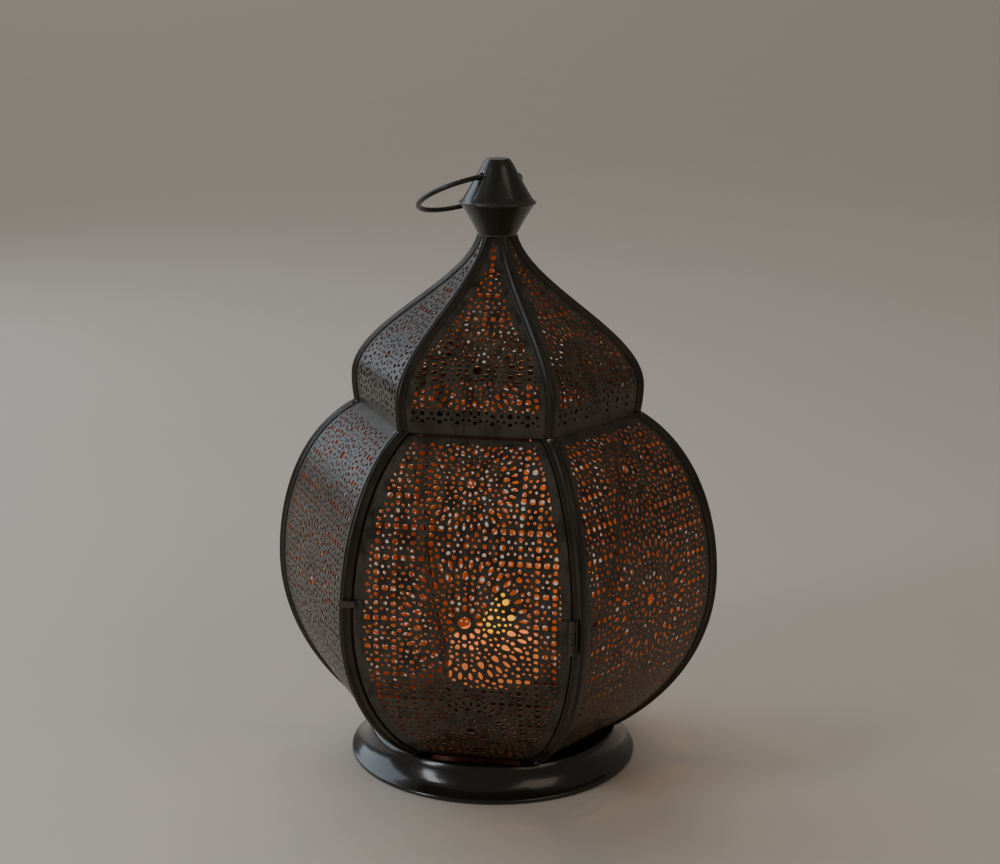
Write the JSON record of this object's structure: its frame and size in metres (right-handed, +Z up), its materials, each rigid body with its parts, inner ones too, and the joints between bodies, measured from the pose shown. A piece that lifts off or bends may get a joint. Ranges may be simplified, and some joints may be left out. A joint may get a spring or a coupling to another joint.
{
  "type": "moroccan metal lantern",
  "caption": "Hexagonal pierced black metal lantern with a bulging body, onion roof, hinged door panel, round foot, double-cone finial and a wire hanging ring, with a candle in a cup inside.",
  "frame": {"origin": "centre of the underside of the round foot, on the surface the lantern stands on", "axes": "+Z up along the lantern's axis, -Y out through the middle of the door, +X towards the door's hinge side"},
  "size_m": [0.223, 0.1964, 0.3006],
  "materials": {
    "black_enamel": "semi-gloss black enamel, slightly worn",
    "gloss_black_enamel": "gloss black enamel",
    "copper_paint": "satin copper-coloured paint",
    "black_wire": "black painted wire",
    "dark_steel": "darkened steel",
    "wax": "warm translucent wax",
    "wick": "charred cotton"
  },
  "bodies": {
    "lantern": {"base_foot": "gloss_black_enamel", "floor_plate": "copper_paint", "foot_rivets": "dark_steel", "candle_cup": "black_enamel", "cup_rivets": "dark_steel", "body_panel_front_right": "black_enamel", "body_panel_back_right": "black_enamel", "body_panel_back": "black_enamel", "body_panel_back_left": "black_enamel", "body_panel_front_left": "black_enamel", "body_rib_door_left": "black_enamel", "body_rib_door_right": "black_enamel", "body_rib_right": "black_enamel", "body_rib_back_right": "black_enamel", "body_rib_back_left": "black_enamel", "body_rib_left": "black_enamel", "door_stop_left": "black_enamel", "door_stop_right": "black_enamel", "hinge_leaf_frame": "black_enamel", "hinge_pin": "dark_steel", "eaves_plate": "black_enamel", "roof_panel_front": "black_enamel", "roof_panel_front_right": "black_enamel", "roof_panel_back_right": "black_enamel", "roof_panel_back": "black_enamel", "roof_panel_back_left": "black_enamel", "roof_panel_front_left": "black_enamel", "roof_rib_door_left": "black_enamel", "roof_rib_door_right": "black_enamel", "roof_rib_right": "black_enamel", "roof_rib_back_right": "black_enamel", "roof_rib_back_left": "black_enamel", "roof_rib_left": "black_enamel", "neck_plate": "gloss_black_enamel", "finial_lower_cone": "gloss_black_enamel", "finial_upper_cone": "gloss_black_enamel"},
    "door": {"door_panel": "black_enamel", "hinge_leaf_door": "black_enamel", "door_catch": "black_enamel"},
    "ring": {"hanging_ring": "black_wire"},
    "candle": {"candle_wax": "wax", "candle_wick": "wick"}
  },
  "joints": [
    {"name": "door_hinge", "type": "hinge", "parent": "lantern", "child": "door", "pos_m": [0.05075, -0.09766, 0.097], "axis": [0, 0, 1], "range_deg": [0, 105]},
    {"name": "ring_hinge", "type": "hinge", "parent": "lantern", "child": "ring", "pos_m": [0, 0, 0.2925], "axis": [0.6561, 0.7547, 0], "range_deg": [0, 230]},
    {"name": "candle_lift", "type": "slide", "parent": "lantern", "child": "candle", "axis": [0, 0, 1], "range_m": [0, 0.02]}
  ]
}
